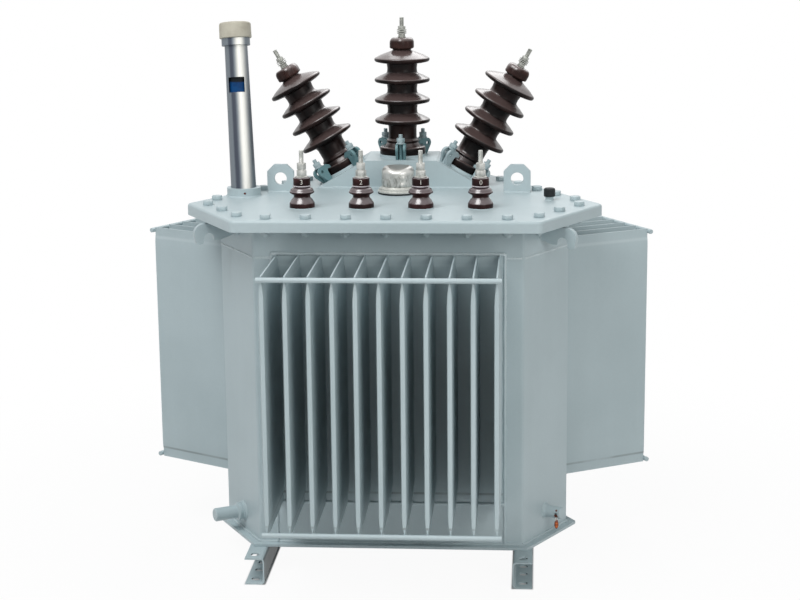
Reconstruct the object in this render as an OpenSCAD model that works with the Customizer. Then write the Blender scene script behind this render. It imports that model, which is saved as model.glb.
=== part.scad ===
// Three-phase oil-filled distribution transformer with a three-cornered tank, finned walls and lid bushings.
// Millimetres, Z up, the front finned wall looks along -Y. The floor is at z = 0 under the two base channels.

/* [Tank] */
// Width of each finned wall between its corner edges
long_side = 548; // [400:1:800]
// Width of each plain corner wall
short_side = 184; // [120:1:300]
// Thickness of the corner plates, skirting plates and wall sheets
wall_t = 4; // [3:0.5:8]
// Width of the corner plate that turns onto the finned wall
corner_return = 38; // [20:1:50]
// Height of the plain skirting below the finned sheet
skirting_h = 88; // [50:1:160]
// Height of the finned sheet
panel_h = 524; // [350:1:900]
// Height of the plain ring above the finned sheet
ring_h = 53; // [45:1:90]
// Thickness of the rim flange round the tank mouth
rim_t = 10; // [6:0.5:16]
// Width of the rim flange outside the wall
rim_w = 44; // [30:1:50]
// Thickness of the rubber gasket under the lid
gasket_t = 8; // [3:0.5:12]

/* [Lid] */
// Distance from the tank wall to the edge of the lid
lid_overhang = 60; // [54:1:90]
// Thickness of the lid plate
lid_t = 6; // [4:0.5:12]
// Height of the turned-down edge of the lid
lid_skirt_h = 24; // [15:0.5:40]
// Radius of the rounded upper edge of the lid
lid_edge_r = 6; // [3:0.5:10]
// Radius of the lid corners in plan
lid_corner_r = 16; // [12:1:40]

/* [Fins] */
// Number of fins on each wall
fin_count = 11; // [5:1:12]
// Distance from one fin to the next
fin_pitch = 45; // [30:0.5:46]
// How far the fins stand out from the wall
fin_depth = 224; // [80:1:300]
// Thickness of a fin in its middle
fin_t = 11; // [7:0.5:16]
// Thickness of a fin where its ends are pressed flat
fin_end_t = 3; // [2:0.5:6]
// Length of the slope from full to flat at the top of a fin
fin_taper_top = 42; // [30:1:110]
// Length of the slope from full to flat at the bottom of a fin
fin_taper_bottom = 33; // [20:1:110]
// Length of the flat part at each end of a fin
fin_flat = 15; // [12:1:30]
// Radius of the two edges of a fin's nose
fin_nose_r = 3; // [1:0.5:5]
// Distance from the middle of an outer fin to the corner plate on a wall that is too narrow for the pitch
fin_edge = 6; // [6:0.5:12]
// Gap between the fin tops and the top of the finned sheet
fin_top_gap = 2; // [0:0.5:10]
// Diameter of the round bars across the fin tips
tie_rod_d = 10; // [6:0.5:14]
// Distance from the end of a fin to the middle of its tie rod
tie_rod_inset = 6; // [5:0.5:9]
// How far the tie rods run past the outer fins
tie_rod_end = 4; // [3:1:25]

/* [Base] */
// Thickness of the base plate
base_t = 6; // [4:0.5:15]
// How far the base plate stands out from the tank wall
base_overhang = 17; // [8:1:40]
// Height of the base channels
channel_h = 56; // [40:1:120]
// Width of the channel flanges
channel_w = 40; // [32:1:70]
// Thickness of the channel plate
channel_t = 3; // [2.5:0.5:8]
// Outer bend radius of the channels
channel_r = 8; // [6:0.5:12]
// Length of the base channels
channel_l = 706; // [680:1:900]
// Distance between the rail bolt holes, both ways
rail_gauge = 550; // [500:1:560]
// Diameter of the bolt holes in the channels
channel_hole_d = 18; // [12:0.5:20]
// Distance from the rail bolt holes to the holes nearer the channel ends
end_hole_step = 53; // [40:1:60]
// Distance from the rail bolt holes to the holes nearer the middle
mid_hole_step = 45; // [30:1:80]

/* [Lifting] */
// Width of a lifting lug on the lid
lug_w = 58; // [45:1:80]
// Height of a lifting lug
lug_h = 61; // [50:1:90]
// Thickness of a lifting lug
lug_t = 10; // [6:0.5:16]
// Size of the cut-off upper corners of a lug
lug_cut = 15; // [6:1:20]
// Diameter of the hole in a lug
lug_hole_d = 27; // [16:0.5:30]
// Height of the lug hole above the lid
lug_hole_z = 30; // [26:1:45]
// Sideways distance of the lugs from the middle
lug_x = 256; // [230:1:280]
// Position of the lugs front to back
lug_y = 47; // [0:1:70]
// How far the tank hooks stand out from the corner walls
hook_l = 83; // [70:1:110]
// Height of the tank hooks
hook_h = 42; // [38:1:48]
// Thickness of the tank hooks
hook_t = 10; // [6:0.5:20]
// Height of the hook plate above its sling notch
hook_back = 20; // [14:0.5:26]
// Width of the sling notch in a hook
hook_notch_w = 23; // [12:0.5:27]
// Thickness of the hook finger outside the notch
hook_finger = 20; // [14:0.5:26]
// Radius of the outer upper corner of a hook
hook_corner_r = 21; // [8:1:24]
// Sideways distance of a hook from the middle of its corner wall
hook_shift = 24; // [0:1:40]

/* [High voltage] */
// Height of the bushing turret above the lid
turret_h = 60; // [50:1:100]
// Half of the width of the turret top
turret_half = 78; // [76:1:110]
// Depth of the turret front to back
turret_d = 157; // [150:1:200]
// Position of the middle of the turret front to back
hv_y = 186; // [175:1:210]
// Slope of the turret sides, which is the lean of the outer bushings
hv_lean = 30; // [25:0.5:31]
// Thickness of the raised pads under the bushings
hv_pad_t = 6; // [3:0.5:8]
// Diameter of the bushing foot flange
hv_flange_d = 101; // [90:1:104]
// Thickness of the bushing foot flange
hv_flange_t = 17; // [12:0.5:24]
// Diameter of the bushing sheds
hv_shed_d = 122; // [105:1:130]
// Diameter of the bushing core
hv_core_d = 66; // [55:1:70]
// Height of the lowest shed rim above the flange underside
hv_shed_z = 74; // [68:1:90]
// Distance from one shed to the next
hv_shed_pitch = 44.8; // [38:0.1:50]
// Number of sheds on a bushing
hv_sheds = 4; // [2:1:6]
// Diameter of the knob on the top of a bushing
hv_knob_d = 56; // [50:1:60]
// Height of that knob
hv_knob_h = 24; // [18:1:30]
// Number of flutes round the knob
hv_flutes = 6; // [4:1:8]
// Diameter of a flute
hv_flute_d = 14; // [8:0.5:16]
// Depth of a flute
hv_flute_depth = 3; // [1:0.5:4]
// Diameter of the neck under the knob
hv_neck_d = 40; // [34:1:44]
// Diameter of the terminal studs
hv_stud_d = 10; // [8:0.5:14]
// Free length of the stud above its nuts
hv_stud_free = 18; // [12:1:40]
// Width of the clamps on the bushing flange
clamp_w = 22; // [16:1:24]
// How far the clamps reach over the flange
clamp_reach = 10; // [6:0.5:11]
// Length of the foot of a clamp
clamp_foot = 13; // [8:0.5:14]
// Height of a clamp above the flange
clamp_arm = 12; // [8:0.5:16]
// Width of the slot in a clamp for its stud
clamp_slot = 11; // [8:0.5:13]
// Diameter of the eye through the clamp cheeks
clamp_eye_d = 7.5; // [3:0.5:8]
// Angle of the paired clamps from the line through the three bushings
clamp_turn = 49; // [30:1:60]

/* [Low voltage] */
// Distance between low-voltage bushings
lv_pitch = 122.5; // [90:0.5:130]
// Position of the low-voltage row front to back
lv_y = -161; // [-190:1:-120]
// Diameter of the foot of a low-voltage bushing
lv_foot_d = 52; // [44:1:70]
// Diameter of its waist
lv_waist_d = 34; // [24:1:40]
// Diameter of its barrel
lv_barrel_d = 35; // [30:1:42]
// Height of its porcelain
lv_h = 63; // [56:1:90]
// Diameter of the low-voltage studs
lv_stud_d = 10; // [8:0.5:14]
// Free length of a low-voltage stud above its nuts
lv_stud_free = 25; // [15:1:40]

/* [Fittings] */
// Diameter of the relief valve foot
relief_flange_d = 88; // [76:1:96]
// Height of the relief valve foot
relief_flange_h = 16; // [10:1:22]
// Diameter of the relief valve cap
relief_cap_d = 71; // [50:1:74]
// Height of the relief valve cap
relief_cap_h = 45; // [30:1:70]
// Depth of the valley across the relief valve cap
relief_valley = 9; // [4:0.5:14]
// Radius of that valley
relief_valley_r = 38; // [30:1:60]
// Position of the relief valve front to back
relief_y = 35; // [0:1:50]
// Sideways position of the oil gauge
gauge_x = -330; // [-330:1:-300]
// Position of the oil gauge front to back
gauge_y = 0; // [-40:1:4]
// Lean of the gauge tube away from the middle
gauge_lean = 3; // [0:0.5:5]
// Lean of the gauge tube to the back
gauge_back = 9; // [0:0.5:12]
// Diameter of the gauge tube at its foot
gauge_tube_d = 54; // [44:1:56]
// Diameter of the gauge tube at its top
gauge_top_d = 49; // [40:1:56]
// Wall thickness of the gauge tube
gauge_tube_t = 2.5; // [1.5:0.5:4]
// Diameter of the collar at the gauge foot
gauge_collar_d = 72; // [66:1:76]
// Height of that collar
gauge_collar_h = 18; // [12:1:30]
// Diameter of the set-screw hole in the collar
gauge_screw_d = 5; // [3:0.5:6]
// Angle of that hole from the front
gauge_screw_turn = 12; // [-60:1:60]
// Height of the gauge tube
gauge_tube_h = 336; // [300:1:420]
// Diameter of the ring at the top of the tube
gauge_ring_d = 61; // [58:1:70]
// Height of that ring
gauge_ring_h = 15.5; // [12:0.5:30]
// Diameter of the gauge cap
gauge_cap_d = 69; // [60:1:80]
// Height of the gauge cap
gauge_cap_h = 34; // [20:1:50]
// Width of the gauge window
window_w = 34; // [20:1:38]
// Height of the gauge window
window_h = 32; // [20:1:60]
// Height of the middle of the window above the lid
window_z = 236; // [180:1:260]
// Sideways position of the capped pocket on the lid
pocket_x = 325; // [300:1:335]
// Position of the capped pocket front to back
pocket_y = -58; // [-90:1:-40]
// Diameter of the pocket neck
pocket_neck_d = 17; // [10:0.5:20]
// Height of the pocket neck
pocket_neck_h = 8; // [6:0.5:20]
// Diameter of the pocket cap
pocket_cap_d = 24; // [21:0.5:36]
// Height of the pocket cap
pocket_cap_h = 18; // [12:0.5:30]
// Height of the drain stub above the base plate
drain_z = 40; // [26:1:60]
// Length of the drain stub
drain_l = 66; // [40:1:90]
// Diameter of the drain stub
drain_d = 28; // [20:1:36]
// Diameter of the outlet under the drain stub
drain_hole_d = 8; // [4:0.5:12]
// Distance of that outlet from the end of the stub
drain_hole_in = 10; // [8:0.5:16]
// Height of the earthing boss above the base plate
earth_z = 50; // [26:1:60]
// Length of the earthing boss
earth_l = 41; // [25:1:70]
// Diameter of the earthing boss
earth_d = 25; // [18:1:34]
// Diameter of the cross hole in the earthing boss
earth_hole_d = 6; // [4:0.5:8]
// Distance of that hole from the end of the boss
earth_hole_in = 9; // [7:0.5:12]

/* [Hidden] */
$fn = 64;
// Gap left round a piece that slides into another
fit_gap = 0.3;
// Distance of the finned walls and the corner walls from the tank axis
wall_in = (long_side + 2 * short_side) / (2 * sqrt(3));
corner_in = (short_side + 2 * long_side) / (2 * sqrt(3));
// Half of the width of a finned sheet between the corner plates
panel_half = long_side / 2 - corner_return;
// Distance from one fin to the next that fits on that sheet
fin_step = min(fin_pitch, 2 * (panel_half - fin_edge) / (fin_count - 1));
// Outer bend radius of the corner plates
bend_r = 2 * wall_t;
// Levels above the floor
base_z = channel_h + base_t;
panel_z = base_z + skirting_h;
ring_z = panel_z + panel_h;
rim_z = ring_z + ring_h;
gasket_z = rim_z + rim_t;
lid_z = gasket_z + gasket_t;
lid_top = lid_z + lid_t;
fin_top_z = ring_z - fin_top_gap;
// Place of the channels and their holes
hole_x = rail_gauge / 2;
channel_in = hole_x - channel_t - (channel_w - channel_t) / 2;
end_hole_y = rail_gauge / 2 + end_hole_step;
// Middle of the sloped turret sides
slope_run = turret_h / tan(hv_lean);
slope_x = turret_half + slope_run / 2;
slope_z = lid_top + turret_h / 2;
// Levels on a bushing above its foot
hv_last_shed = hv_shed_z + (hv_sheds - 1) * hv_shed_pitch;
hv_knob_z = hv_last_shed + 24;
hv_top = hv_knob_z + hv_knob_h;
hv_nuts_h = 26;
lv_nuts_h = 31;
lv_skirt_d = lv_foot_d - 1;
// Gap between the bushing flange and the foot of a clamp
clamp_gap = 3;

PAINT = [0.68, 0.75, 0.78];
GLAZE = [0.22, 0.12, 0.1];
ZINC = [0.72, 0.72, 0.7];

function turn(v, a) = [v[0] * cos(a) - v[1] * sin(a), v[0] * sin(a) + v[1] * cos(a)];
function arc(c, r, a0, a1, n) = [for (i = [0:n]) let (a = a0 + (a1 - a0) * i / n) c + r * [cos(a), sin(a)]];
// The six corners of the tank plan moved outward by a distance, from the right end of the front wall round
function tank_corner(i, out) =
    let (grow = 2 * out * tan(30))
    let (v1 = [(long_side + grow) / 2, -wall_in - out])
    let (v2 = v1 + (short_side + grow) * [cos(60), sin(60)])
    turn(i % 2 == 0 ? v1 : v2, 120 * floor(i / 2));
function tank_plan(out) = [for (i = [0:5]) tank_corner(i, out)];
function tank_plan_round(out, r, n) =
    [for (i = [0:5]) each arc(tank_corner(i, out - r), r, 60 * i - 90, 60 * i - 30, n)];

// Places a piece on the middle of a corner wall, its own +X pointing out of the wall
module on_corner(i, z) {
    rotate([0, 0, -30 + 120 * i])
        translate([corner_in, 0, z])
            children();
}

module base_plate() {
    color(PAINT)
        translate([0, 0, channel_h])
            linear_extrude(base_t)
                polygon(tank_plan_round(base_overhang, 5, 4));
}

module channel_section() {
    ri = channel_r - channel_t;
    t = channel_t;
    polygon(concat(
        [[channel_w, 0], [channel_w, t]],
        arc([t + ri, t + ri], ri, 270, 180, 4),
        arc([t + ri, channel_h - t - ri], ri, 180, 90, 4),
        [[channel_w, channel_h - t], [channel_w, channel_h]],
        arc([channel_r, channel_h - channel_r], channel_r, 90, 180, 6),
        arc([channel_r, channel_r], channel_r, 180, 270, 6)));
}

module base_channel(side) {
    color(PAINT)
        mirror([side < 0 ? 1 : 0, 0, 0])
            difference() {
                translate([channel_in, channel_l / 2, 0])
                    rotate([90, 0, 0])
                        linear_extrude(channel_l)
                            channel_section();
                for (s = [-1, 1]) {
                    for (y = [rail_gauge / 2, end_hole_y, rail_gauge / 2 - mid_hole_step])
                        translate([hole_x, s * y, -1])
                            cylinder(d = channel_hole_d, h = channel_t + 2);
                    translate([hole_x, s * end_hole_y, channel_h - channel_t - 1])
                        cylinder(d = channel_hole_d, h = channel_t + 2);
                }
            }
}

module base_channel_left() {
    base_channel(-1);
}

module base_channel_right() {
    base_channel(1);
}

module skirting_plates() {
    color(PAINT)
        for (i = [0:2])
            rotate([0, 0, 120 * i])
                translate([-panel_half, -wall_in, base_z])
                    cube([2 * panel_half, wall_t, skirting_h]);
}

module corner_plate(i) {
    e1 = tank_corner(0, 0) - [corner_return, 0];
    e2 = tank_corner(1, 0) + corner_return * [cos(120), sin(120)];
    c1 = tank_corner(0, -bend_r);
    c2 = tank_corner(1, -bend_r);
    color(PAINT)
        rotate([0, 0, 120 * i])
            translate([0, 0, base_z])
                linear_extrude(skirting_h + panel_h)
                    polygon(concat(
                        [e1], arc(c1, bend_r, -90, -30, 4), arc(c2, bend_r, -30, 30, 4),
                        [e2, e2 - wall_t * [cos(30), sin(30)]],
                        arc(c2, bend_r - wall_t, 30, -30, 4), arc(c1, bend_r - wall_t, -30, -90, 4),
                        [e1 + [0, wall_t]]));
}

module corner_plate_right() {
    corner_plate(0);
}

module corner_plate_back() {
    corner_plate(1);
}

module corner_plate_left() {
    corner_plate(2);
}

// One folded fin on the front wall: flat-pressed ends, full middle, nose with two round edges
module fin() {
    h = fin_top_z - panel_z;
    m = fin_t / 2;
    e = fin_end_t / 2;
    c = (m + e) / 2;
    n = min(fin_nose_r, m - 0.5);
    z1 = fin_flat;
    z2 = fin_flat + fin_taper_bottom;
    z3 = h - fin_flat - fin_taper_top;
    z4 = h - fin_flat;
    side = [[e, 0], [e, z1], [c, z1 + fin_taper_bottom / 3], [m, z2],
            [m, z3], [c, z4 - fin_taper_top / 3], [e, z4], [e, h]];
    intersection() {
        translate([0, -wall_in + wall_t / 2, panel_z])
            rotate([90, 0, 0])
                linear_extrude(fin_depth + wall_t)
                    polygon(concat(side, [for (i = [7:-1:0]) [-side[i][0], side[i][1]]]));
        translate([0, -wall_in, panel_z - 1])
            linear_extrude(h + 2)
                polygon(concat(
                    [[fin_t, wall_t / 2], [-fin_t, wall_t / 2], [-fin_t, -wall_t], [-m, -wall_t]],
                    arc([n - m, n - fin_depth], n, 180, 270, 4),
                    arc([m - n, n - fin_depth], n, 270, 360, 4),
                    [[m, -wall_t], [fin_t, -wall_t]]));
    }
}

module fin_panel(i) {
    color(PAINT)
        rotate([0, 0, 120 * i])
            union() {
                translate([-panel_half, -wall_in, panel_z])
                    cube([2 * panel_half, wall_t, panel_h]);
                for (k = [0:fin_count - 1])
                    translate([(k - (fin_count - 1) / 2) * fin_step, 0, 0])
                        fin();
            }
}

module fin_panel_front() {
    fin_panel(0);
}

module fin_panel_back_right() {
    fin_panel(1);
}

module fin_panel_back_left() {
    fin_panel(2);
}

module tie_rods() {
    l = (fin_count - 1) * fin_step + fin_t + 2 * tie_rod_end;
    color(PAINT)
        for (i = [0:2], z = [panel_z + tie_rod_inset, fin_top_z - tie_rod_inset])
            rotate([0, 0, 120 * i])
                translate([-l / 2, -wall_in - fin_depth - tie_rod_d / 2, z])
                    rotate([0, 90, 0])
                        cylinder(d = tie_rod_d, h = l);
}

module tank_top_frame() {
    color(PAINT)
        union() {
            translate([0, 0, ring_z])
                linear_extrude(ring_h)
                    difference() {
                        polygon(tank_plan_round(0, bend_r, 4));
                        polygon(tank_plan_round(-wall_t, bend_r - wall_t, 4));
                    }
            translate([0, 0, rim_z])
                linear_extrude(rim_t)
                    difference() {
                        polygon(tank_plan(rim_w));
                        polygon(tank_plan_round(-wall_t, bend_r - wall_t, 4));
                    }
        }
}

module lid_gasket() {
    color([0.1, 0.1, 0.1])
        translate([0, 0, gasket_z])
            linear_extrude(gasket_t)
                difference() {
                    polygon(tank_plan(rim_w - 2));
                    polygon(tank_plan(-wall_t));
                }
}

// A corner post of the lid with its rounded upper edge
module lid_post(h) {
    r = lid_corner_r;
    rotate_extrude($fn = 48)
        polygon(concat([[0, 0], [r, 0]],
                       arc([r - lid_edge_r, h - lid_edge_r], lid_edge_r, 0, 90, 5),
                       [[0, h]]));
}

module lid() {
    color(PAINT)
        translate([0, 0, lid_top - lid_skirt_h])
            difference() {
                hull()
                    for (i = [0:5])
                        translate(tank_corner(i, lid_overhang - lid_corner_r))
                            lid_post(lid_skirt_h);
                translate([0, 0, -1])
                    linear_extrude(lid_skirt_h - lid_t + 1)
                        polygon(tank_plan_round(lid_overhang - 4, lid_corner_r - 4, 6));
            }
}

module lifting_lug(side) {
    color(PAINT)
        translate([side * lug_x, lug_y, lid_top])
            difference() {
                translate([0, lug_t / 2, 0])
                    rotate([90, 0, 0])
                        linear_extrude(lug_t)
                            polygon([[-lug_w / 2, 0], [lug_w / 2, 0], [lug_w / 2, lug_h - lug_cut],
                                     [lug_w / 2 - lug_cut, lug_h], [lug_cut - lug_w / 2, lug_h],
                                     [-lug_w / 2, lug_h - lug_cut]]);
                translate([0, lug_t / 2 + 1, lug_hole_z])
                    rotate([90, 0, 0])
                        cylinder(d = lug_hole_d, h = lug_t + 2);
            }
}

module lifting_lug_left() {
    lifting_lug(-1);
}

module lifting_lug_right() {
    lifting_lug(1);
}

// Hook plate with a notch that opens downward, drawn out from the wall and down from its top
module tank_hook(i) {
    r = hook_notch_w / 2;
    notch_in = hook_l - hook_finger - hook_notch_w;
    low = min(6 - hook_h, -hook_back - r - 3);
    color(PAINT)
        on_corner(i, rim_z - 4)
            translate([0, hook_t / 2 - hook_shift, 0])
                rotate([90, 0, 0])
                    linear_extrude(hook_t)
                        polygon(concat(
                            [[0, 0], [0, low + 8], [notch_in - 14, low]],
                            arc([notch_in - 2, low + 2], 2, 270, 360, 3),
                            arc([notch_in + r, -hook_back - r], r, 180, 0, 8),
                            arc([hook_l - hook_finger + 4, 4 - hook_h], 4, 180, 270, 3),
                            arc([hook_l - 8, 5 - hook_h], 5, 270, 345, 3),
                            arc([hook_l - hook_corner_r, -hook_corner_r], hook_corner_r, 0, 90, 6)));
}

module tank_hook_right() {
    tank_hook(0);
}

module tank_hook_back() {
    tank_hook(1);
}

module tank_hook_left() {
    tank_hook(2);
}

// Places a piece upright on a bushing pad: -1 left side, 0 top, 1 right side
module on_turret(side) {
    translate([side * slope_x, hv_y, side == 0 ? lid_top + turret_h : slope_z])
        rotate([0, side * hv_lean, 0])
            children();
}

module hv_turret() {
    foot = turret_half + slope_run;
    color(PAINT)
        union() {
            translate([0, hv_y + turret_d / 2, lid_top])
                rotate([90, 0, 0])
                    linear_extrude(turret_d)
                        polygon([[-foot, 0], [foot, 0], [turret_half, turret_h], [-turret_half, turret_h]]);
            for (s = [-1, 0, 1])
                on_turret(s)
                    translate([0, 0, -2])
                        cylinder(d = hv_flange_d + 2, h = hv_pad_t + 2);
        }
}

// Outline of a shed: its underside and round rim, then the upper slope
function shed_rim(z) =
    let (c = hv_core_d / 2, s = hv_shed_d / 2)
    concat([[c, z - 8], [c + 4, z - 6]], arc([s - 4, z], 4, 270, 430, 6));
function shed_slope(z) =
    let (c = hv_core_d / 2)
    [[c + 9, z + 11], [c + 2, z + 15], [c, z + 19]];

module hv_bushing(side) {
    f = hv_flange_d / 2;
    n = hv_core_d / 2;
    k = hv_knob_d / 2;
    color(GLAZE)
        on_turret(side)
            translate([0, 0, hv_pad_t])
                difference() {
                    rotate_extrude()
                        polygon(concat(
                            [[0, 0], [f, 0]],
                            arc([f - 4, hv_flange_t - 4], 4, 0, 90, 3),
                            [[f - clamp_reach - 1, hv_flange_t], [n + 2, hv_flange_t + 5],
                             [n + 3, hv_flange_t + 9], [n + 3, hv_flange_t + 14],
                             [n - 2, hv_flange_t + 19], [n - 2, hv_shed_z - 18]],
                            [for (z = [hv_shed_z:hv_shed_pitch:hv_last_shed - hv_shed_pitch / 2])
                                each concat(shed_rim(z), shed_slope(z))],
                            shed_rim(hv_last_shed),
                            [[hv_neck_d / 2, hv_knob_z - 3], [hv_neck_d / 2, hv_knob_z - 1],
                             [k - 4, hv_knob_z]],
                            arc([k - 5, hv_knob_z + 6], 5, 290, 360, 3),
                            arc([k - 8, hv_top - 8], 8, 0, 90, 4),
                            [[0, hv_top]]));
                    for (i = [1:hv_flutes])
                        rotate([0, 0, 360 / hv_flutes * (i + 0.5) - 90])
                            translate([k + hv_flute_d / 2 - hv_flute_depth, 0, hv_knob_z - 1])
                                cylinder(d = hv_flute_d, h = hv_knob_h + 2);
                }
}

module hv_bushing_left() {
    hv_bushing(-1);
}

module hv_bushing_centre() {
    hv_bushing(0);
}

module hv_bushing_right() {
    hv_bushing(1);
}

// A stud with a washer and two nuts, standing on the top of a bushing
module stud_and_nuts(d, nuts_h, free) {
    af = 1.96 * d;
    nut = (nuts_h - 3) / 2;
    union() {
        cylinder(d = d, h = nuts_h + free);
        cylinder(d = 2.1 * d, h = 3);
        translate([0, 0, 3])
            cylinder(d = af, h = nut - 0.5, $fn = 6);
        translate([0, 0, nut + 3])
            rotate([0, 0, 20])
                cylinder(d = af, h = nut, $fn = 6);
    }
}

module hv_terminal(side) {
    color(ZINC)
        on_turret(side)
            translate([0, 0, hv_pad_t + hv_top])
                stud_and_nuts(hv_stud_d, hv_nuts_h, hv_stud_free);
}

module hv_terminal_left() {
    hv_terminal(-1);
}

module hv_terminal_centre() {
    hv_terminal(0);
}

module hv_terminal_right() {
    hv_terminal(1);
}

// A claw that stands on the turret and presses on the bushing flange, drawn out along +X
module clamp() {
    f = hv_flange_d / 2;
    z = hv_pad_t + hv_flange_t;
    top = z + clamp_arm;
    foot = f + clamp_gap;
    back_r = clamp_arm - 1;
    back = foot + clamp_foot + 2;
    difference() {
        translate([0, clamp_w / 2, 0])
            rotate([90, 0, 0])
                linear_extrude(clamp_w)
                    polygon(concat(
                        [[foot, 0], [foot + clamp_foot, 0]],
                        arc([back, top - back_r], back_r, -30, 90, 6),
                        [[f, top], [f - clamp_reach + 2, z + 7], [f - clamp_reach, z + 5],
                         [f - clamp_reach, z + fit_gap], [f + 1, z + fit_gap], [foot, z - 4]]));
        translate([foot + 4, -clamp_slot / 2, -1])
            cube([clamp_foot + 2 * back_r, clamp_slot, top + 2]);
        translate([back, clamp_w / 2 + 1, top - back_r])
            rotate([90, 0, 0])
                cylinder(d = clamp_eye_d, h = clamp_w + 2);
    }
}

module hv_clamps(side) {
    color([0.2, 0.45, 0.45])
        on_turret(side)
            rotate([0, 0, side == 0 ? 0 : 180])
                for (a = [-90, clamp_turn, 180 - clamp_turn])
                    rotate([0, 0, a])
                        clamp();
}

module hv_clamps_left() {
    hv_clamps(-1);
}

module hv_clamps_centre() {
    hv_clamps(0);
}

module hv_clamps_right() {
    hv_clamps(1);
}

module on_lv(i) {
    translate([(i - 2.5) * lv_pitch, lv_y, lid_top])
        children();
}

module lv_bushing(i) {
    f = lv_foot_d / 2;
    w = lv_waist_d / 2;
    b = lv_barrel_d / 2;
    s = lv_skirt_d / 2;
    color(GLAZE)
        on_lv(i)
            rotate_extrude()
                polygon(concat(
                    [[0, 0], [f, 0], [f, 10], [f - 1, 12], [w + 0.5, 22], [w, 24], [w, 26.5]],
                    arc([s - 2, 33], 2, 290, 430, 5),
                    [[s - 4, 40], [b + 1, 43], [b - 1, 43], [b - 1, 45], [b, 45],
                     [b, lv_h - 2], [b - 2, lv_h], [0, lv_h]]));
}

module lv_bushing_1() {
    lv_bushing(1);
}

module lv_bushing_2() {
    lv_bushing(2);
}

module lv_bushing_3() {
    lv_bushing(3);
}

module lv_bushing_4() {
    lv_bushing(4);
}

module lv_terminals() {
    color(ZINC)
        for (i = [1:4])
            on_lv(i)
                translate([0, 0, lv_h])
                    stud_and_nuts(lv_stud_d, lv_nuts_h, lv_stud_free);
}

module relief_valve_foot() {
    color(ZINC)
        translate([0, relief_y, lid_top])
            cylinder(d = relief_flange_d, h = relief_flange_h);
}

// The cap has round shoulders and a valley across its top, deepest at the front and gone near the back
module relief_valve_cap() {
    w = relief_cap_d / 2;
    slope = atan(relief_valley / (1.6 * w));
    color(ZINC)
        translate([0, relief_y, lid_top + relief_flange_h])
            difference() {
                rotate_extrude()
                    polygon(concat([[0, 0], [w, 0]], arc([w - 9, relief_cap_h - 9], 9, 0, 90, 5),
                                   [[0, relief_cap_h]]));
                translate([0, -w, relief_cap_h - relief_valley])
                    rotate([90 + slope, 0, 0])
                        translate([0, relief_valley_r, -3 * w])
                            cylinder(r = relief_valley_r, h = 4 * w);
            }
}

// Places a piece on the leaning gauge axis, with its foot on the lid
module on_gauge(z) {
    translate([gauge_x, gauge_y, lid_top])
        rotate([-gauge_back, -gauge_lean, 0])
            translate([0, 0, z])
                children();
}

// Cuts a leaning piece off level with the lid
module cut_at_lid() {
    w = 2 * gauge_collar_d;
    difference() {
        children();
        translate([gauge_x - w / 2, gauge_y - w / 2, lid_top - w])
            cube(w);
    }
}

module gauge_collar() {
    color(PAINT)
        difference() {
            translate([gauge_x, gauge_y, lid_top])
                cylinder(d = gauge_collar_d, h = gauge_collar_h);
            on_gauge(-gauge_collar_h)
                cylinder(d = gauge_tube_d + 2 * fit_gap, h = 3 * gauge_collar_h);
            translate([gauge_x, gauge_y, lid_top + gauge_collar_h / 2])
                rotate([90, 0, gauge_screw_turn])
                    cylinder(d = gauge_screw_d, h = gauge_collar_d);
        }
}

module gauge_tube() {
    r = gauge_tube_d / 2;
    top_r = gauge_top_d / 2;
    z = gauge_tube_h - gauge_ring_h;
    color([0.75, 0.77, 0.78])
        cut_at_lid()
            on_gauge(0)
                difference() {
                    rotate_extrude()
                        polygon([[r - gauge_tube_t, -r], [r, -r], [r, gauge_collar_h], [top_r, z],
                                 [gauge_ring_d / 2, z], [gauge_ring_d / 2, gauge_tube_h],
                                 [top_r - gauge_tube_t, gauge_tube_h], [top_r - gauge_tube_t, z],
                                 [r - gauge_tube_t, gauge_collar_h]]);
                    translate([-window_w / 2, -gauge_ring_d, window_z - window_h / 2])
                        cube([window_w, gauge_ring_d, window_h]);
                }
}

module gauge_float() {
    r = gauge_top_d / 2 - gauge_tube_t - 2;
    color([0.1, 0.25, 0.6])
        cut_at_lid()
            on_gauge(0)
                rotate_extrude()
                    polygon([[0, -r], [5, -r], [5, window_z - window_h], [r, window_z - window_h],
                             [r, window_z + window_h], [0, window_z + window_h]]);
}

module gauge_cap() {
    r = gauge_cap_d / 2;
    color([0.78, 0.77, 0.71])
        on_gauge(gauge_tube_h)
            rotate_extrude()
                polygon(concat([[0, 0], [r - 1, 0], [r, 1]], arc([r - 8, gauge_cap_h - 7], 7, 0, 90, 5),
                               [[0, gauge_cap_h]]));
}

module pocket_neck() {
    color(PAINT)
        translate([pocket_x, pocket_y, lid_top])
            cylinder(d = pocket_neck_d, h = pocket_neck_h);
}

module pocket_cap() {
    r = pocket_cap_d / 2;
    color([0.08, 0.08, 0.08])
        translate([pocket_x, pocket_y, lid_top + pocket_neck_h])
            rotate_extrude()
                polygon(concat([[0, 0], [r, 0]],
                               arc([r - 4, pocket_cap_h - 4], 4, 0, 90, 4),
                               [[0, pocket_cap_h]]));
}

module drain_stub() {
    r = drain_d / 2;
    color(PAINT)
        on_corner(2, base_z + drain_z)
            difference() {
                rotate([0, 90, 0])
                    rotate_extrude()
                        polygon([[0, 0], [r + 6, 0], [r + 6, 6], [r + 3, 7], [r + 3, 9], [r + 5, 10],
                                 [r + 5, 15], [r, 17], [r, drain_l - 2], [r - 2, drain_l], [0, drain_l]]);
                translate([drain_l - drain_hole_in, 0, -drain_d])
                    cylinder(d = drain_hole_d, h = drain_d);
            }
}

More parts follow.
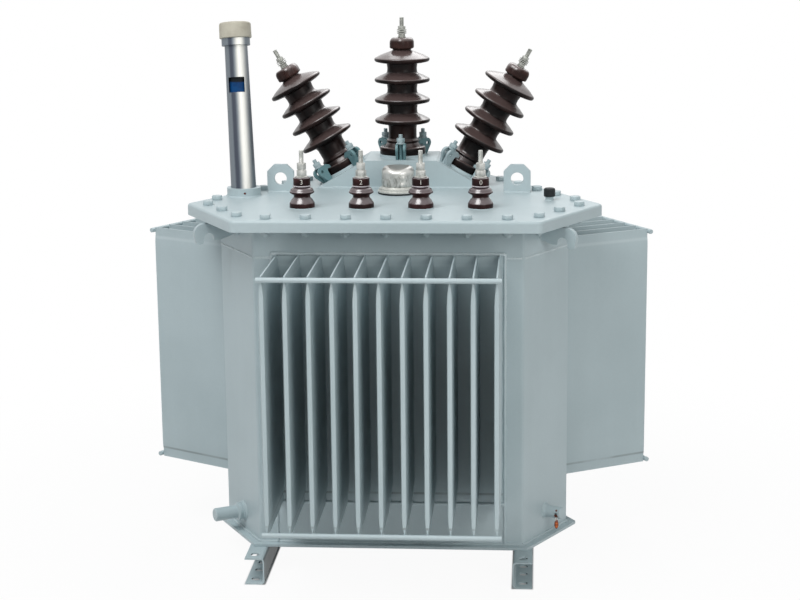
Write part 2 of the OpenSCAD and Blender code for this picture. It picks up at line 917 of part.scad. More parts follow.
module earthing_boss() {
    r = earth_d / 2;
    color(PAINT)
        on_corner(0, base_z + earth_z)
            difference() {
                rotate([0, 90, 0])
                    rotate_extrude()
                        polygon([[0, 0], [r + 3, 0], [r + 2, 4], [r, 8], [r, earth_l - 1.5],
                                 [r - 1.5, earth_l], [0, earth_l]]);
                translate([earth_l - earth_hole_in, earth_d, 0])
                    rotate([90, 0, 0])
                        cylinder(d = earth_hole_d, h = 2 * earth_d);
            }
}

base_plate();
base_channel_left();
base_channel_right();
skirting_plates();
corner_plate_right();
corner_plate_back();
corner_plate_left();
fin_panel_front();
fin_panel_back_right();
fin_panel_back_left();
tie_rods();
tank_top_frame();
lid_gasket();
lid();
lifting_lug_left();
lifting_lug_right();
tank_hook_left();
tank_hook_right();
tank_hook_back();
hv_turret();
hv_bushing_left();
hv_bushing_centre();
hv_bushing_right();
hv_terminal_left();
hv_terminal_centre();
hv_terminal_right();
hv_clamps_left();
hv_clamps_centre();
hv_clamps_right();
lv_bushing_1();
lv_bushing_2();
lv_bushing_3();
lv_bushing_4();
lv_terminals();
relief_valve_foot();
relief_valve_cap();
gauge_collar();
gauge_tube();
gauge_float();
gauge_cap();
pocket_neck();
pocket_cap();
drain_stub();
earthing_boss();
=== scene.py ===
import math

import bmesh
import bpy
from mathutils import Matrix, Vector, noise


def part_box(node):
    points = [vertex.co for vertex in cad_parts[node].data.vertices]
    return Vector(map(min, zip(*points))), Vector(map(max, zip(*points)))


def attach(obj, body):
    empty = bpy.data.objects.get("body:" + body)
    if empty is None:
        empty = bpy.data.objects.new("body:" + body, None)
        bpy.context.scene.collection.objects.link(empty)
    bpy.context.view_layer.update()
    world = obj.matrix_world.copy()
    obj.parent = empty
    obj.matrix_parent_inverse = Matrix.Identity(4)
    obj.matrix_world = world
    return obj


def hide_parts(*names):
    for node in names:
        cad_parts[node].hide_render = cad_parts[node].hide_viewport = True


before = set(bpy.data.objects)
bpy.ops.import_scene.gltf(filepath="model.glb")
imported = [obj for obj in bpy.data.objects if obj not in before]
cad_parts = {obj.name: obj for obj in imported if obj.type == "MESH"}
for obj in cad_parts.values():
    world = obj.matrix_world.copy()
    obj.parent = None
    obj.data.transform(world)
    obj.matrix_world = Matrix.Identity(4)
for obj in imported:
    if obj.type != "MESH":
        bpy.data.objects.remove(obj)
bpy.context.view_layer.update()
scene = bpy.context.scene

# Levels of the tank in metres, from the parts' boxes in model.glb
BASE_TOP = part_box("base_plate")[1][2]
PANEL_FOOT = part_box("skirting_plates")[1][2]
PANEL_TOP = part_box("corner_plate_left")[1][2]
LID_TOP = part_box("lid")[1][2]
RING_H = 0.053
RIM_FOOT = PANEL_TOP + RING_H
LOW_FOLD = PANEL_FOOT + 0.0215
HIGH_FOLD = PANEL_TOP - 0.0232

# Plan of the tank, as in the part's source
LONG_SIDE = 0.548
SHORT_SIDE = 0.184
CORNER_RETURN = 0.038
WALL_IN = (LONG_SIDE + 2 * SHORT_SIDE) / (2 * math.sqrt(3))
CORNER_IN = (SHORT_SIDE + 2 * LONG_SIDE) / (2 * math.sqrt(3))
PANEL_HALF = LONG_SIDE / 2 - CORNER_RETURN

# Lid bolts: how far out the rows lie, their pitches, the heads and nuts, and the ends below the nuts
LONG_BOLTS_IN = 0.298
LONG_PITCH = 0.0804
CORNER_BOLTS_IN = 0.398
CORNER_PITCH = 0.082
HEAD_W, HEAD_H = 0.0205, 0.0092
NUT_W, NUT_H = 0.0180, 0.0090
BOLT_R, BOLT_END = 0.0058, 0.0035

# Fittings on the lid
LUG_X = 0.256
LUG_HALF_W = 0.0285
LUG_FACES = (0.042, 0.052)
HV_Y = 0.186
HV_LEAN = math.radians(30)
TURRET_H = 0.060
TURRET_FLAT = 0.078
TURRET_HALF_W = 0.0785
TURRET_TOP = LID_TOP + TURRET_H
SLOPE_X = TURRET_FLAT + TURRET_H / 2 / math.tan(HV_LEAN)
FLANGE_R = 0.0505
PAD_T = 0.006
LV_Y = -0.161
LV_PITCH = 0.1225
LV_X = [LV_PITCH * (i - 1.5) for i in range(4)]
LV_H = 0.063
LV_BARREL_R = 0.0175
RELIEF = Vector((0.0, 0.035, LID_TOP))
POCKET = Vector((0.325, -0.058, LID_TOP))
GAUGE = Vector((-0.330, 0.0, LID_TOP))
GAUGE_LEFT = math.radians(3)
GAUGE_BACK = math.radians(9)
GAUGE_H = 0.336
TUBE_R = 0.0265

# Claws: their directions round each bushing, and their bolts' distance from the flange, height and radius
CLAW_TURNS = {-1: (90, -49, -131), 0: (-90, 49, 131), 1: (90, -49, -131)}
CLAW_OUT = 0.0135
CLAW_H = 0.0350
CLAW_BOLT_R = 0.0046

# Fittings on the corner walls
HOOK_FACES = (-0.029, -0.019)
HOOK_FOOT, HOOK_TOP = 0.696, 0.722
DRAIN_UP = 0.040
BOSS_UP = 0.050

# Camera fitted to the photograph: millimetres, metres and degrees
CAMERA_SENSOR = 36.0
CAMERA_LENS = 83.708
CAMERA_SPOT = (0.30107, -3.92620, 1.37274)
CAMERA_YAW = math.radians(4.324)
CAMERA_PITCH = math.radians(12.190)
CAMERA_ROLL = math.radians(-0.591)

# Light: strength of the sky, lamps as name, place, size, watts and tint, and the spot they face
SKY_STRENGTH = 0.32
LAMPS = [("key_softbox", (-1.3, -2.1, 4.3), 2.4, 122.0, (1.0, 1.0, 1.0)),
         ("fill_softbox", (2.1, -3.2, 2.0), 2.0, 40.0, (1.0, 0.985, 0.955)),
         ("rear_softbox", (0.4, 2.6, 3.2), 2.4, 42.0, (1.0, 1.0, 1.0))]
LAMP_AIM = Vector((0, 0, 0.55))


# Places

def turned(degrees, axis="Z"):
    """A turn about an axis."""
    return Matrix.Rotation(math.radians(degrees), 4, axis)


def at(x, y, z):
    """A move to a place."""
    return Matrix.Translation((x, y, z))


def on_wall(i):
    """Frame of a finned wall: X along it, -Y out of it."""
    return turned(120 * i) @ at(0, -WALL_IN, 0)


def on_corner(i, z):
    """Frame of a corner wall: X out of it."""
    return turned(-30 + 120 * i) @ at(CORNER_IN, 0, z)


def on_turret(side):
    """Frame of a bushing pad: Z along the bushing."""
    z = TURRET_TOP if side == 0 else LID_TOP + TURRET_H / 2
    return at(side * SLOPE_X, HV_Y, z) @ Matrix.Rotation(side * HV_LEAN, 4, "Y")


def on_lv(i):
    """Frame of a low-voltage bushing on the lid."""
    return at(LV_X[i], LV_Y, LID_TOP)


def on_gauge(z):
    """Frame at a height along the leaning gauge tube."""
    lean = Matrix.Rotation(-GAUGE_LEFT, 4, "Y") @ Matrix.Rotation(-GAUGE_BACK, 4, "X")
    return Matrix.Translation(GAUGE) @ lean @ at(0, 0, z)


def tank_corner(i, out):
    """A corner of the six-sided tank plan, moved outward."""
    grow = 2 * out * math.tan(math.radians(30))
    v = Vector(((LONG_SIDE + grow) / 2, -WALL_IN - out, 0))
    if i % 2:
        v += (SHORT_SIDE + grow) * Vector((math.cos(math.radians(60)), math.sin(math.radians(60)), 0))
    return turned(120 * (i // 2)) @ v


# Camera

def aim_camera():
    """Looks from where the photograph was taken."""
    turn = Matrix.Rotation(CAMERA_YAW, 3, "Z") @ Matrix.Rotation(-CAMERA_PITCH, 3, "X")
    ahead, right, up = (turn @ Vector(v) for v in ((0, 1, 0), (1, 0, 0), (0, 0, 1)))
    c, s = math.cos(CAMERA_ROLL), math.sin(CAMERA_ROLL)
    right, up = c * right + s * up, c * up - s * right
    lens = bpy.data.cameras.new("photo_lens")
    lens.sensor_width = CAMERA_SENSOR
    lens.lens = CAMERA_LENS
    lens.clip_start, lens.clip_end = 0.1, 100.0
    camera = bpy.data.objects.new("photo_camera", lens)
    scene.collection.objects.link(camera)
    look = Matrix((right, up, -ahead)).transposed().to_4x4()
    camera.matrix_world = at(*CAMERA_SPOT) @ look
    scene.camera = camera


# Shader maths

class Signal:
    """A shader socket in a sum: each operator adds one Math node."""

    def __init__(self, finish, socket):
        self.finish, self.socket = finish, socket

    def math(self, operation, *values):
        return self.finish.node("ShaderNodeMath", {"operation": operation}, dict(enumerate(values)))

    def __add__(self, other):
        return self.math("ADD", self, other)

    def __sub__(self, other):
        return self.math("SUBTRACT", self, other)

    def __rsub__(self, other):
        return self.math("SUBTRACT", other, self)

    def __mul__(self, other):
        return self.math("MULTIPLY", self, other)

    __radd__ = __add__
    __rmul__ = __mul__

    def top(self, other):
        """The larger of two values."""
        return self.math("MAXIMUM", self, other)

    def clip(self):
        """The value kept between 0 and 1."""
        return self.math("MINIMUM", self.math("MAXIMUM", self, 0.0), 1.0)


class Finish:
    """A procedural finish on object coordinates."""

    def __init__(self, name, **constants):
        self.material = bpy.data.materials.new(name)
        self.material.use_nodes = True
        self.tree = self.material.node_tree
        self.surface = self.tree.nodes["Principled BSDF"]
        self.place = self.node("ShaderNodeTexCoord", {}, {}, "Object")
        self.set(**constants)

    def node(self, kind, settings, inputs, output=0):
        """Adds a node and gives one of its outputs."""
        made = self.tree.nodes.new(kind)
        for name, value in settings.items():
            setattr(made, name, value)
        for name, value in inputs.items():
            self.feed(made.inputs[name], value)
        return Signal(self, made.outputs[output])

    def feed(self, socket, value):
        """Links a signal to a socket, or sets a constant there."""
        if isinstance(value, Signal):
            self.tree.links.new(value.socket, socket)
        elif socket.type == "RGBA" and len(value) == 3:
            socket.default_value = (*value, 1.0)
        else:
            socket.default_value = value

    def set(self, **values):
        """Sets inputs of the surface, named with underscores."""
        for name, value in values.items():
            self.feed(self.surface.inputs[name.replace("_", " ").title().replace("Ior", "IOR")], value)

    def xyz(self, vector=None):
        """X, Y and Z of a vector or, without one, of the place."""
        made = self.node("ShaderNodeSeparateXYZ", {}, {0: vector or self.place})
        return [Signal(self, s) for s in made.socket.node.outputs]

    def stretched(self, x, y, z):
        """The place, scaled along each axis."""
        return self.node("ShaderNodeMapping", {}, {"Vector": self.place, "Scale": (x, y, z)})

    def grain(self, scale, detail=2.0, rough=0.5, vector=None, twist=0.0):
        """Noise about 0.5."""
        return self.node("ShaderNodeTexNoise", {}, {"Vector": vector or self.place, "Scale": scale,
                                                    "Detail": detail, "Roughness": rough, "Distortion": twist})

    def rise(self, value, low, high):
        """0 below a level, rising smoothly to 1 at another."""
        return self.node("ShaderNodeMapRange", {"interpolation_type": "SMOOTHSTEP"},
                         {"Value": value, "From Min": low, "From Max": high})

    def mix(self, share, a, b):
        """A blend of two colours."""
        return self.node("ShaderNodeMix", {"data_type": "RGBA"}, {0: share, 6: a, 7: b}, 2)

    def near(self, spot, radius):
        """1 at a spot, fading to 0 at a radius."""
        far = self.node("ShaderNodeVectorMath", {"operation": "DISTANCE"}, {0: self.place, 1: spot}, "Value")
        return 1.0 - self.rise(far, 0.0, radius)

    def band(self, value, low, high, soft):
        """1 between two levels, fading to 0 on both sides."""
        return self.rise(value, low - soft, low) * (1.0 - self.rise(value, high, high + soft))

    def facing(self):
        """How far a surface faces along X, Y and Z."""
        return self.xyz(self.node("ShaderNodeTexCoord", {}, {}, "Normal"))

    def bump(self, height, strength, distance, under=None):
        """A bumped normal, laid over another where one is given."""
        inputs = {"Height": height, "Strength": strength, "Distance": distance}
        if under is not None:
            inputs["Normal"] = under
        return self.node("ShaderNodeBump", {}, inputs)


def shade(r, g, b):
    """A colour as a picture shows it, made linear."""
    return tuple((v / 255 / 12.92) if v < 10.3 else ((v / 255 + 0.055) / 1.055) ** 2.4 for v in (r, g, b))


ENAMEL_PALE = shade(186, 201, 205)
ENAMEL_DEEP = shade(171, 187, 191)
# Dirt, also used as painted shade along the fins' low fold
DIRT_AND_CREASE_SHADE = shade(92, 98, 98)
RUST = shade(122, 62, 38)
# Painted shade for the inner faces of the channels' webs
WEB_SHADE = shade(46, 54, 54)
# A painted highlight, for the fins' high fold and the weld beads
PAINTED_HIGHLIGHT = shade(208, 219, 222)
TUBE_GREY = shade(120, 128, 135)
# Painted reflections on the gauge tube: a dark and a bright band
TUBE_PAINTED_SHADE = shade(72, 78, 89)
TUBE_PAINTED_GLINT = shade(216, 216, 211)


def enamel(name, rust_spots=(), shaded_inside=False, fold_shading=False, bead_highlight=False):
    """Grey-blue enamel with orange peel, streaks and scuffs.

    It can have rust at bare spots, painted shade on the inner sides of webs, a painted shade and
    a painted highlight along the fins' folds, or beads painted paler towards the top as a painted highlight.
    """
    f = Finish(name, specular_ior_level=0.12 if shaded_inside else 0.42)
    x, y, z = f.xyz()
    cloud = f.grain(2.6, 4.0, 0.55)
    streak = f.grain(1.0, 3.0, 0.6, f.stretched(26.0, 26.0, 1.6))
    fleck = f.grain(190.0, 2.0)
    tone = (f.rise(cloud, 0.3, 0.7) * 0.6 + f.rise(streak, 0.3, 0.7) * 0.1 + fleck * 0.3).clip()
    colour = f.mix(tone, ENAMEL_DEEP, ENAMEL_PALE)
    outside = 1.0 - f.rise(y, -0.268, -0.264)
    ledge = f.band(z, BASE_TOP - 0.0015, BASE_TOP + 0.002, 0.001) * outside * f.band(x, -0.19, 0.17, 0.03)
    smear = f.rise(f.grain(1.0, 5.0, 0.7, f.stretched(11.0, 260.0, 150.0)), 0.5, 0.66)
    film = f.rise(f.grain(16.0, 5.0, 0.65), 0.5, 0.85) * (1.0 - f.rise(z, 0.010, 0.060))
    grime = (ledge * smear * 0.6 + film * 0.25).clip()
    colour = f.mix(grime, colour, DIRT_AND_CREASE_SHADE)
    rough = 0.38 + cloud * 0.1 + grime * 0.25
    if shaded_inside:
        # Painted shade on web faces turned toward the tank's middle, a little deeper further back
        inward = 0.0 - f.facing()[0] * x.math("SIGN", x)
        depth = 0.58 + f.rise(y, -0.42, -0.28) * 0.2 + f.grain(30.0, 4.0, 0.6) * 0.15
        colour = f.mix((f.rise(inward, 0.5, 0.9) * depth).clip(), colour, WEB_SHADE)
    if fold_shading:
        # Painted shade along the low fold and a painted highlight along the high fold, in patches
        patchy = f.rise(f.grain(6.0, 3.0, 0.6), 0.3, 0.6)
        for level, soft, share, mark in ((LOW_FOLD, 0.0025, 0.5, DIRT_AND_CREASE_SHADE), (HIGH_FOLD, 0.004, 0.35, PAINTED_HIGHLIGHT)):
            colour = f.mix(f.band(z, level - 0.001, level + 0.001, soft) * patchy * share, colour, mark)
    if bead_highlight:
        # Painted highlight: the beads paler towards the top
        colour = f.mix(f.rise(z, PANEL_FOOT, PANEL_TOP - 0.03) * 0.6, colour, PAINTED_HIGHLIGHT)
    if rust_spots:
        bare = 0.0
        for spot, radius in rust_spots:
            bare = f.near(spot, radius) + bare
        bare = f.rise(bare + f.grain(240.0, 4.0, 0.7) * 0.5, 0.62, 0.86)
        colour = f.mix(bare, colour, f.mix(f.grain(420.0, 3.0), shade(92, 58, 52), RUST))
        rough = rough + bare * 0.3
    peel = f.bump(f.grain(330.0, 2.0), 0.12, 0.0006)
    wave = f.bump(f.grain(9.0, 2.0), 0.10, 0.004, peel)
    f.set(base_color=colour, roughness=rough, normal=wave)
    return f.material


def porcelain(name, deep, warm, worn, turn):
    """Brown glaze, shinier where it turns up and paler there with dust and a painted sky reflection, dull on the
    shaded cores.
    """
    f = Finish(name, specular_ior_level=0.08, coat_roughness=0.24, coat_ior=2.0)
    pool = f.grain(22.0, 3.0, 0.6)
    up = f.rise(f.facing()[2], turn, turn + 0.55)
    # The worn colour on upward faces is dust and a painted sky reflection
    colour = f.mix(up * (0.7 + pool * 0.4), f.mix(f.rise(pool, 0.4, 0.7), deep, warm), worn)
    wobble = f.bump(f.grain(30.0, 2.0), 0.08, 0.0016)
    f.set(base_color=colour, coat_weight=0.03 + up * 0.97, roughness=0.35 + pool * 0.08, normal=wobble)
    return f.material


def tinned(name, pale, dull):
    """Dull tinned metal of studs and nuts."""
    f = Finish(name)
    tarnish = f.rise(f.grain(70.0, 4.0, 0.6), 0.35, 0.7)
    colour = f.mix(tarnish, pale, dull)
    pits = f.bump(f.grain(900.0, 2.0), 0.15, 0.0002)
    f.set(base_color=colour, metallic=0.55 + tarnish * 0.25, roughness=0.46 + tarnish * 0.14, normal=pits)
    return f.material


def crumpled_tin(name, pale, dull, metal, depth):
    """Bright sheet, finely crumpled below the shoulder of the relief can."""
    f = Finish(name)
    haze = f.grain(120.0, 4.0, 0.7)
    fold = f.grain(1.0, 3.0, 0.6, f.stretched(150.0, 150.0, 85.0), 0.8)
    rough_part = 1.0 - f.rise(f.xyz()[2], LID_TOP + 0.034, LID_TOP + 0.050)
    colour = f.mix((f.rise(fold, 0.4, 0.65) * rough_part * 0.75 + haze * 0.25).clip(), pale, dull)
    dents = f.bump(fold * rough_part, depth, 0.0016)
    f.set(base_color=colour, metallic=metal, roughness=0.3 + haze * 0.16, normal=dents)
    return f.material


def drawn_tube(name):
    """Aluminium tube with a dark and a bright band painted on as reflections, and fine lines along it."""
    f = Finish(name)
    x, _, z = f.xyz()
    across = (x - GAUGE.x + (z - LID_TOP) * math.tan(GAUGE_LEFT)) * (0.5 / TUBE_R) + 0.5
    lines = f.grain(1.0, 3.0, 0.6, f.stretched(900.0, 900.0, 7.0))
    drift = f.grain(1.0, 3.0, 0.6, f.stretched(40.0, 40.0, 5.0))
    spot = across + drift * 0.08 - 0.04 + lines * 0.03
    # Painted reflections: a dark band left of the middle and a bright band right of it
    colour = f.mix(f.band(spot, 0.34, 0.42, 0.10), TUBE_GREY, TUBE_PAINTED_SHADE)
    colour = f.mix(f.band(spot, 0.66, 0.80, 0.18), colour, TUBE_PAINTED_GLINT)
    scratch = f.bump(lines, 0.10, 0.0002)
    f.set(base_color=colour, metallic=0.7, roughness=0.42 + lines * 0.14, normal=scratch)
    return f.material


def moulded(name, colour, worn, rough, shine=0.5, shade_above=None):
    """Moulded plastic or rubber with a fine matt skin, with painted shade above a level where one is given."""
    f = Finish(name, specular_ior_level=shine)
    patch = f.rise(f.grain(45.0, 4.0, 0.6), 0.4, 0.75)
    skin = f.bump(f.grain(700.0, 2.0), 0.18, 0.0003)
    tone = f.mix(patch, colour, worn)
    if shade_above is not None:
        # Painted shadow above the level
        tone = f.mix(f.rise(f.xyz()[2], shade_above, shade_above + 0.004), tone, shade(14, 20, 26))
    f.set(base_color=tone, roughness=rough + patch * 0.12, normal=skin)
    return f.material


def claw_paint(name, overspray):
    """Teal casting paint, with the tank's enamel drifted over it."""
    f = Finish(name)
    drift = f.rise(f.grain(55.0, 4.0, 0.6) + overspray, 0.55, 0.95)
    teal = f.mix(f.grain(160.0, 3.0), shade(94, 130, 135), shade(112, 145, 150))
    skin = f.bump(f.grain(420.0, 3.0), 0.3, 0.0006)
    f.set(base_color=f.mix(drift, teal, ENAMEL_DEEP), roughness=0.42 + drift * 0.1, normal=skin)
    return f.material


def red_copper(name, low, high):
    """Copper drop with a painted highlight down its middle, dark round it from tarnish and painted shade."""
    f = Finish(name)
    # The bright middle is a painted highlight; the dark round it is tarnish noise and painted shade
    bright = f.near(low, 0.0058).top(f.near(high, 0.0054))
    dark = f.rise(f.grain(260.0, 4.0, 0.7) * 0.4 - bright, -0.4, 0.05)
    f.set(base_color=f.mix(dark, shade(206, 108, 48), shade(122, 50, 36)), metallic=0.3,
          roughness=0.4 + dark * 0.2, normal=f.bump(dark, 0.2, 0.0004))
    return f.material


BOSS = on_corner(0, BASE_TOP + BOSS_UP)
DROP = BOSS @ at(0.033, -0.0108, -0.0318)
ENAMEL = enamel("tank_enamel")
ENAMEL_RUSTED = enamel("rusted_enamel", [(BOSS @ Vector((0.032, -0.0101, 0.0073)), 0.0045),
                                         (BOSS @ Vector((0.032, -0.0116, -0.0040)), 0.0085)])
# Enamel with painted shade on the inner web faces
ENAMEL_WEB_SHADED = enamel("web_shaded_enamel", shaded_inside=True)
# Enamel with painted shade and a painted highlight along the fins' folds
ENAMEL_FOLD_SHADED = enamel("fold_shaded_enamel", fold_shading=True)
# Enamel with a painted highlight on the weld beads
ENAMEL_BEAD_HIGHLIGHT = enamel("bead_highlight_enamel", bead_highlight=True)
# The bodies' glaze is darker than the knobs': a painted shade on the cores between the sheds
GLAZE_HV_SHADED = porcelain("shaded_brown_glaze", shade(16, 12, 12), shade(38, 24, 22), shade(92, 77, 75), 0.3)
GLAZE_KNOB = porcelain("knob_glaze", shade(42, 28, 26), shade(66, 44, 40), shade(98, 82, 80), 0.2)
GLAZE_LV = porcelain("red_brown_glaze", shade(36, 21, 21), shade(62, 35, 35), shade(78, 62, 66), 0.1)
TINNED = tinned("tinned_metal", shade(206, 206, 202), shade(166, 168, 164))
WEATHERED = tinned("weathered_metal", shade(176, 178, 172), shade(132, 134, 130))
TIN_CAN = crumpled_tin("dented_tin", shade(208, 208, 204), shade(140, 140, 134), 0.8, 0.6)
TIN_FOOT = crumpled_tin("dull_tin", shade(204, 205, 199), shade(182, 183, 177), 0.25, 0.15)
TUBE = drawn_tube("drawn_aluminium")
CAP_BEIGE = moulded("beige_plastic", shade(188, 184, 169), shade(174, 169, 154), 0.5, 0.3)
RUBBER = moulded("black_rubber", shade(20, 25, 28), shade(32, 38, 41), 0.5, 0.3)
# The float is darkened above the window's upper edge: a painted shadow of that edge
FLOAT = moulded("blue_float", shade(14, 68, 120), shade(10, 52, 98), 0.45, 0.15, LID_TOP + 0.239)
# Pale cement for the rings in the barrels' grooves, its paleness a painted highlight of the glaze there
CEMENT_HIGHLIGHT = moulded("cement_highlight", shade(196, 188, 192), shade(160, 150, 154), 0.6)
MARK = moulded("mark_paint", shade(226, 222, 214), shade(190, 184, 176), 0.5)
CLAW_DARK = claw_paint("teal_claw", -0.12)
CLAW_PALE = claw_paint("oversprayed_claw", 0.42)
COPPER = red_copper("tarnished_copper", DROP @ Vector((0, 0, 0.0060)), DROP @ Vector((0, 0, 0.0120)))


# Mesh work

def piece(name, bm, finish, stands_for=(), crease=35.0):
    """Makes a finished bmesh an object of the part."""
    bmesh.ops.remove_doubles(bm, verts=bm.verts, dist=2e-6)
    bmesh.ops.recalc_face_normals(bm, faces=bm.faces)
    limit = math.radians(crease)
    for face in bm.faces:
        face.smooth = True
    for edge in bm.edges:
        edge.smooth = edge.calc_face_angle(0.0) < limit
    mesh = bpy.data.meshes.new(name)
    bm.to_mesh(mesh)
    bm.free()
    mesh.materials.append(finish)
    obj = bpy.data.objects.new(name, mesh)
    scene.collection.objects.link(obj)
    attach(obj, "root")
    if stands_for:
        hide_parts(*stands_for)
    return obj


def add(bm, part, place=Matrix()):
    """Moves a small mesh to its place and joins it to a larger one."""
    bmesh.ops.transform(part, matrix=place, verts=part.verts)
    mesh = bpy.data.meshes.new("joined")
    part.to_mesh(mesh)
    part.free()
    bm.from_mesh(mesh)
    bpy.data.meshes.remove(mesh)


def revolve(bm, outline, place, steps=64):
    """Turns an outline of (radius, height) points about Z and sets it in place."""
    part = bmesh.new()
    points = [part.verts.new((r, 0.0, z)) for r, z in outline]
    edges = [part.edges.new(pair) for pair in zip(points, points[1:])]
    bmesh.ops.spin(part, geom=points + edges, cent=(0, 0, 0), axis=(0, 0, 1), angle=2 * math.pi,
                   steps=steps, use_merge=True)
    bmesh.ops.remove_doubles(part, verts=part.verts, dist=1e-6)
    add(bm, part, place)


def hoop(bm, radius, thick, place, steps, seed=None):
    """A round wire or weld ring about Z, lumpy where it has a seed."""
    part = bmesh.new()
    bmesh.ops.create_circle(part, segments=8, radius=thick, matrix=at(radius, 0, 0) @ turned(90, "X"))
    bmesh.ops.spin(part, geom=part.verts[:] + part.edges[:], cent=(0, 0, 0), axis=(0, 0, 1), angle=2 * math.pi,
                   steps=steps, use_merge=True)
    for v in part.verts if seed is not None else ():
        turn = math.atan2(v.co.y, v.co.x)
        axis = Vector((radius * math.cos(turn), radius * math.sin(turn), 0))
        swell = 0.4 * noise.noise(Vector((math.cos(turn) * 2, math.sin(turn) * 2, seed)))
        v.co = axis + (v.co - axis) * (1.0 + swell)
    add(bm, part, place)


def bend(centre, radius, first, last, n):
    """Points on an arc of an outline."""
    return [(centre[0] + radius * math.cos(math.radians(first + (last - first) * i / n)),
             centre[1] + radius * math.sin(math.radians(first + (last - first) * i / n))) for i in range(n + 1)]


def soften(bm, width, limit=25.0):
    """Rounds the sharp edges."""
    edges = [e for e in bm.edges if e.calc_face_angle(0.0) > math.radians(limit)]
    bmesh.ops.bevel(bm, geom=edges, offset=width, segments=2, profile=0.5, affect="EDGES",
                    material=-1, clamp_overlap=True)


def hexagon(bm, across, height, place, width=0.0008):
    """A hexagon head or nut standing on its place."""
    part = bmesh.new()
    r = across / math.sqrt(3)
    bmesh.ops.create_cone(part, cap_ends=True, segments=6, radius1=r, radius2=r, depth=height,
                          matrix=at(0, 0, height / 2))
    soften(part, width)
    add(bm, part, place)


def washer(bm, radius, hole, height, place, steps=32):
    """A flat ring with eased rims."""
    e = min(0.0005, height / 3)
    revolve(bm, [(hole, 0), (radius - e, 0), (radius, e), (radius, height - e), (radius - e, height),
                 (hole, height), (hole, 0)], place, steps)


def threaded(bm, radius, length, place, pitch=0.0015, steps=20):
    """A stud with thread ridges and a chamfered end."""
    outline = [(0, 0), (radius, 0)]
    for i in range(int(length / pitch) - 1):
        outline += [(radius, (i + 0.3) * pitch), (radius - 0.0006, (i + 0.8) * pitch)]
    outline += [(radius, length - 0.0012), (radius - 0.0011, length), (0, length)]
    revolve(bm, outline, place, steps)


def weld(bm, start, end, radius, seed):
    """A welded seam: a thin rod whose rings swell and wander like laid beads."""
    start, end = Vector(start), Vector(end)
    span = end - start
    part = bmesh.new()
    bmesh.ops.create_cone(part, cap_ends=True, segments=8, radius1=radius, radius2=radius, depth=span.length)
    long_edges = [e for e in part.edges if abs(e.verts[1].co.z - e.verts[0].co.z) > span.length / 2]
    bmesh.ops.subdivide_edges(part, edges=long_edges, cuts=max(2, int(span.length / 0.003)), use_grid_fill=True)
    for v in part.verts:
        along = v.co.z
        ripple = 0.16 * math.sin(along * 2 * math.pi / 0.0072 + seed)
        lump = 0.45 * noise.noise(Vector((along * 60, seed * 3.1, 0)))
        v.co.x = v.co.x * (1.0 + ripple + lump) + 0.0007 * noise.noise(Vector((along * 25, seed, 1.0)))
        v.co.y = v.co.y * (1.0 + ripple + lump) + 0.0007 * noise.noise(Vector((along * 25, seed, 2.0)))
    add(bm, part, Matrix.Translation((start + end) / 2) @ span.to_track_quat("Z", "Y").to_matrix().to_4x4())


def eased(node, finish, width, limit=30.0):
    """A copy of a solid with its sharp edges rounded."""
    bm = bmesh.new()
    bm.from_mesh(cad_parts[node].data)
    bmesh.ops.remove_doubles(bm, verts=bm.verts, dist=1e-5)
    bmesh.ops.dissolve_limit(bm, angle_limit=math.radians(0.8), verts=bm.verts, edges=bm.edges)
    if width:
        soften(bm, width, limit)
    obj = piece(node + "_eased", bm, finish, [node], 40.0)
    even = obj.modifiers.new("even_normals", "WEIGHTED_NORMAL")
    even.keep_sharp = True


def paint_nodes(names, finish):
    """Gives solids that stay as they are their finish."""
    for name in names:
        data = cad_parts[name].data
        if not data.materials:
            data.materials.append(finish)
        for i in range(len(data.materials)):
            data.materials[i] = finish


# Tank

def dress_tank():
    """Paints the tank and what is welded to it, with small edges rounded."""
    for node, width in [("base_plate", 0.0006), ("lifting_lug_left", 0.0012), ("lifting_lug_right", 0.0012),
                        ("tank_hook_left", 0.0012), ("tank_hook_right", 0.0012), ("tank_hook_back", 0.0012),
                        ("hv_turret", 0.006), ("tank_top_frame", 0.0), ("gauge_collar", 0.0012),
                        ("pocket_neck", 0.0008), ("lid", 0.0), ("tie_rods", 0.0012), ("drain_stub", 0.0006),
                        ("skirting_plates", 0.0)]:
        eased(node, ENAMEL, width)
    eased("earthing_boss", ENAMEL_RUSTED, 0.0006)
    # The channels carry painted shade on their inner web faces
    for node in ["base_channel_left", "base_channel_right"]:
        eased(node, ENAMEL_WEB_SHADED, 0.0006)
    for node in ["corner_plate_right", "corner_plate_back", "corner_plate_left"]:
        eased(node, ENAMEL, 0.0)
    # The fin sheets carry painted shade and a painted highlight along their folds
    for node in ["fin_panel_front", "fin_panel_back_right", "fin_panel_back_left"]:
        eased(node, ENAMEL_FOLD_SHADED, 0.0)
    paint_nodes(["lid_gasket"], RUBBER)


